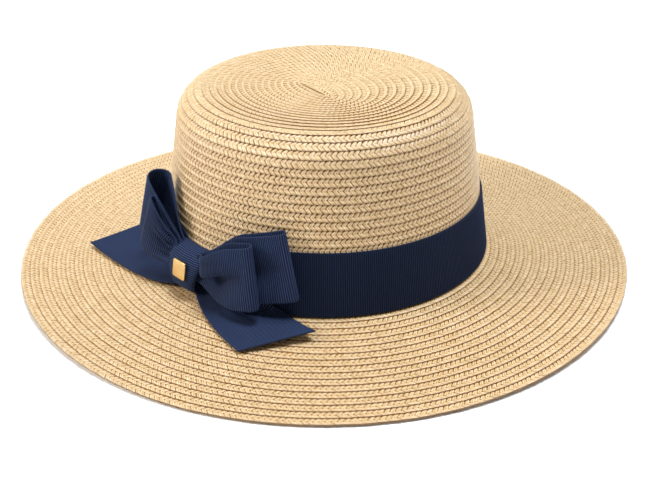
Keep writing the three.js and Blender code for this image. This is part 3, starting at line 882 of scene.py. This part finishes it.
def loop_surface(loop):
    """The surface of one loop, with its pleat, the gathers at the knot and the slack of its front leg."""
    lean = loop["lean"] * DEGREE
    turn = (loop["far_out"] - loop["far_in"]) * KNOT_DEPTH / 2
    middle = (loop["far_out"] + loop["far_in"]) * KNOT_DEPTH / 2
    fold = loop["reach"] * RIBBON - turn
    climb = loop["climb"] * RIBBON
    leg = fold - KNOT_WIDTH / 2
    bend = math.pi * turn
    total = 2 * leg + bend

    def surface(u, v):
        run = u * total
        out_leg = run < leg
        back_leg = run > leg + bend
        share = np.where(out_leg, run / leg, np.where(back_leg, (total - run) / leg, 1.0))
        angle = np.clip((run - leg) / bend, 0, 1) * math.pi
        past = np.where(out_leg | back_leg, 0, turn * np.sin(angle))
        near = np.where(back_leg, loop["near_out"], loop["near_in"]) * KNOT_DEPTH
        far = np.where(back_leg, loop["far_out"], loop["far_in"]) * KNOT_DEPTH
        off = np.where(out_leg | back_leg, mix(near, far, smooth(share)), middle - turn * np.cos(angle))
        pleat = np.where(back_leg, 4 * share * (1 - share) * loop["pleat"], 0)
        opened = smooth(share * loop["spread"])
        half = mix(PINCHED, loop["width"] * RIBBON, opened) / 2
        start_z = LOOP_CENTRE + v * PINCHED / 2
        start = knot_half(start_z) - TUCK
        end = fold - v * half * math.sin(lean)
        along = mix(start, end, share) + past * math.cos(lean)
        height = LOOP_CENTRE + climb * share + v * half * mix(1, math.cos(lean), opened)
        dip = PLEAT_DEPTH * pleat * bump_at(v, -0.1, 0.4)
        gathers = loop["gather"] * (1 - smooth(share * 1.3)) * np.sin(loop["folds"] * v + 0.6)
        gathers = gathers * smooth((share - 0.1) * 5)
        free = smooth((share - 0.05) / 0.3)
        lobe = loop["puff"] * free * (1 - smooth((share - 0.35) / 0.65)) * smooth((v + 0.02) / 0.18)
        below = bump_at(np.minimum(0, v + 0.15), 0, 0.6) * bump_at(np.maximum(0, v + 0.15), 0, 0.18)
        slit = smooth((share - 0.04) / 0.1) * (1 - smooth((share - 0.3) / 0.5)) * below
        gathers = gathers + np.where(back_leg, lobe, 0) - loop["slit"] * slit
        hang = loop["puff"] * 0.3 * free * (1 - smooth((share - 0.35) / 0.3)) * bump_at(v, 0.12, 0.25)
        height = height + past * math.sin(lean) - np.where(back_leg, hang, 0)
        return on_band(loop["side"] * along, np.maximum(off - dip + gathers, 0.8), height)

    return surface


for name, loop in LOOPS.items():
    cloth = loop_surface(loop)
    flip = loop["side"] < 0
    piece, run = ribbon_piece(name + "_cloth", cloth, RIBBON, BOW_CLOTH, flip, inner=23)
    declare(piece, run, name)

# The two cut ends. length, outward, settle and curl are shares of the ribbon's width. cut is in degrees and
# ridge in millimetres. corner is how much more the one corner curls, turn how far the end comes back in.
TAILS = {
    "bow_tail_right": dict(
        side=1, length=1.94, outward=0.60, settle=0.83, turn=0.0, cut=28, curl=0.07, corner=0.9, ridge=2.0,
    ),
    "bow_tail_left": dict(
        side=-1, length=2.30, outward=0.50, settle=0.56, turn=0.07, cut=-8, curl=0.06, corner=0.3, ridge=1.0,
    ),
}


def tail_surface(tail):
    """The surface of one tail: pinched at the knot, along the brim, and up the wall where the two meet."""
    length = tail["length"] * RIBBON
    start = knot_half(KNOT_FOOT + PINCHED) - TUCK
    foot = band_radius(BAND_BOTTOM)
    lean_distance = CLOTH_GAP + CAD_RIBBON_THICKNESS / 2
    corner = CAD_RIBBON_THICKNESS

    def surface(u, v):
        inward = (v + 1) / 2
        slant = (inward - 0.5) * RIBBON * math.tan(tail["cut"] * DEGREE) * smooth(u)
        along = start + (length - start) * u + slant
        width = mix(PINCHED, RIBBON, smooth(along / (TAIL_OPENING * RIBBON)))
        spread = 1 - np.exp(-along / (tail["settle"] * RIBBON))
        outer = foot + lean_distance + tail["outward"] * RIBBON * spread - tail["turn"] * along
        wall = np.sqrt(np.maximum(0, foot**2 - along**2)) + lean_distance
        inside = inward * width
        up = corner * np.log(1 + np.exp(np.clip((inside - (outer - wall)) / corner, -30, 30)))
        out = outer - (inside - up) - up * math.tan(WALL_LEAN)
        side_along = tail["side"] * along
        x = out * math.cos(BOW_ANGLE) - side_along * math.sin(BOW_ANGLE)
        y = out * math.sin(BOW_ANGLE) + side_along * math.cos(BOW_ANGLE)
        radius = np.hypot(x, y)
        surface_z = brim_underside(radius, np.arctan2(y, x)) + BRIM_THICKNESS + ROW_RIDGE
        pull = (KNOT_FOOT - surface_z - CLOTH_GAP) * np.exp(-(along - start) / (TAIL_DESCENT * RIBBON))
        curl = tail["curl"] * RIBBON * u**4 * (1 + tail["corner"] * v)
        ridge = tail["ridge"] * bump_at(inward + 0.1 * u, 0.45, 0.2) * smooth(u * 4) * (1 - smooth(u - 0.1))
        z = surface_z + CLOTH_GAP + CAD_RIBBON_THICKNESS / 2 + up + np.maximum(0, pull) + curl + ridge
        clear = band_radius(z) + lean_distance
        grow = np.maximum(1, clear / radius)
        return np.stack([CROWN_X + x * grow, CROWN_Y + y * grow, z], -1)

    return surface


for name, tail in TAILS.items():
    cloth = tail_surface(tail)
    piece, run = ribbon_piece(name + "_cloth", cloth, RIBBON, BOW_CLOTH, tail["side"] < 0)
    declare(piece, run, name)


# Plate

# Rings from the plate's back to its face: how far each lies in from the outline, and its height as a share
# of the plate's thickness
PLATE_RINGS = (
    (0.9, -0.5), (0, -0.5), (0, 0.2), (0.08, 0.38), (0.25, 0.48), (0.5, 0.5), (2.5, 0.53), (4.6, 0.54),
)


def bow_plate():
    """The small plate on the knot, at the solid plate's place, softly rounded at its corners and edge."""
    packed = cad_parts["bow_plate"]
    corners = np.array([packed.matrix_world @ vertex.co for vertex in packed.data.vertices]) / MM
    centre = (corners.max(axis=0) + corners.min(axis=0)) / 2 + [0, 0, PLATE_RAISE]
    normal = np.linalg.svd(corners - centre)[2][2]
    outward = np.array([math.cos(BOW_ANGLE), math.sin(BOW_ANGLE), 0])
    normal *= np.sign(normal @ outward)
    level = np.array([-math.sin(BOW_ANGLE), math.cos(BOW_ANGLE), 0])
    level -= normal * (level @ normal)
    level /= np.linalg.norm(level)
    upright = np.cross(level, normal)
    upright *= np.sign(upright[2])
    wide = level * math.cos(PLATE_TURN) - upright * math.sin(PLATE_TURN)
    tall = level * math.sin(PLATE_TURN) + upright * math.cos(PLATE_TURN)
    t = np.linspace(0, 2 * math.pi, 65)[:-1]
    outline_x = np.sign(np.cos(t)) * np.abs(np.cos(t)) ** PLATE_CORNERS
    outline_y = np.sign(np.sin(t)) * np.abs(np.sin(t)) ** PLATE_CORNERS
    rings = []
    for inset, height in PLATE_RINGS:
        x = (PLATE_WIDTH / 2 - inset) * outline_x
        y = (PLATE_HEIGHT / 2 - inset) * outline_y
        rings.append(centre + x[:, None] * wide + y[:, None] * tall + height * PLATE_THICKNESS * normal)
    points = np.concatenate(rings)
    size = len(t)
    faces = []
    for ring in range(len(rings) - 1):
        low, high = ring * size, (ring + 1) * size
        for i in range(size):
            j = (i + 1) % size
            faces.append((low + i, low + j, high + j, high + i))
    faces.append(tuple(range(high, high + size)))
    faces.append(tuple(range(size))[::-1])
    if np.cross(wide, tall) @ normal < 0:
        faces = [face[::-1] for face in faces]
    piece = make_object("bow_plate_metal", points, faces, [GOLD])
    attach(piece, "root")
    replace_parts(piece, "bow_plate")


bow_plate()


# Floor, light and camera

FLOOR_HALF = 6000.0
FLOOR_TOP = -0.2
FLOOR_PAINT = (0.93, 0.93, 0.93)
FLOOR_MOTTLE = 0.985
ROOM_LIGHT = (1.0, 0.945, 0.85, 1)
ROOM_STRENGTH = 0.36
LIGHT_AIM = (0, 0, 0.05)

# Name, place and width in metres, power in watts and colour of each lamp
LAMPS = (
    ("back key", (0.30, 1.20, 1.10), 1.1, 3.5, (0.93, 0.96, 1.0)),
    ("top", (0.00, -0.40, 1.78), 0.65, 40, (0.84, 0.91, 1.0)),
    ("left key", (-1.20, 0.55, 0.84), 0.5, 16.5, (1.0, 0.95, 0.89)),
    ("right fill", (1.30, -0.45, 0.50), 0.7, 3.5, (1.0, 0.91, 0.80)),
)
CAMERA_LENS = 60.78
CAMERA_SENSOR = 36
CAMERA_PLACE = (-0.34525, -0.45912, 0.30705)
CAMERA_AIM = (0.0020, 0.0017, 0.00167)


def floor_paint():
    """Dull white paint with the faintest mottle."""
    material, nodes, shader = new_material("pale floor")
    mottle = nodes.noise(object_place(nodes), 3.0, 2.0)
    dim = tuple(FLOOR_MOTTLE * c for c in FLOOR_PAINT)
    nodes.set(shader, "Base Color", nodes.blend(mottle, FLOOR_PAINT, dim))
    shader.inputs["Roughness"].default_value = 0.9
    shader.inputs["Specular IOR Level"].default_value = 0.1
    return material


def floor():
    """The wide floor under the hat."""
    corners = [(x * FLOOR_HALF, y * FLOOR_HALF, FLOOR_TOP) for x, y in ((-1, -1), (1, -1), (1, 1), (-1, 1))]
    piece = make_object("floor", corners, [(0, 1, 2, 3)], [floor_paint()], False)


def area_light(name, place, size, power, colour):
    """A round lamp that points at the hat."""
    light = bpy.data.lights.new(name, "AREA")
    light.shape = "DISK"
    light.size = size
    light.energy = power
    light.color = colour
    lamp = bpy.data.objects.new(name, light)
    lamp.location = place
    lamp.rotation_euler = (Vector(LIGHT_AIM) - Vector(place)).to_track_quat("-Z", "Y").to_euler()
    bpy.context.scene.collection.objects.link(lamp)


def studio():
    """The room's even light and the four lamps."""
    bpy.context.scene.view_settings.view_transform = "Standard"
    world = bpy.data.worlds.new("studio")
    world.use_nodes = True
    room = world.node_tree.nodes["Background"]
    room.inputs["Color"].default_value = ROOM_LIGHT
    room.inputs["Strength"].default_value = ROOM_STRENGTH
    bpy.context.scene.world = world
    for lamp in LAMPS:
        area_light(*lamp)


def camera():
    """The photo's view of the hat."""
    data = bpy.data.cameras.new("camera")
    data.lens = CAMERA_LENS
    data.sensor_width = CAMERA_SENSOR
    data.sensor_fit = "HORIZONTAL"
    view = bpy.data.objects.new("camera", data)
    view.location = CAMERA_PLACE
    view.rotation_euler = (Vector(CAMERA_AIM) - view.location).to_track_quat("-Z", "Y").to_euler()
    bpy.context.scene.collection.objects.link(view)
    bpy.context.scene.camera = view


floor()
studio()
camera()
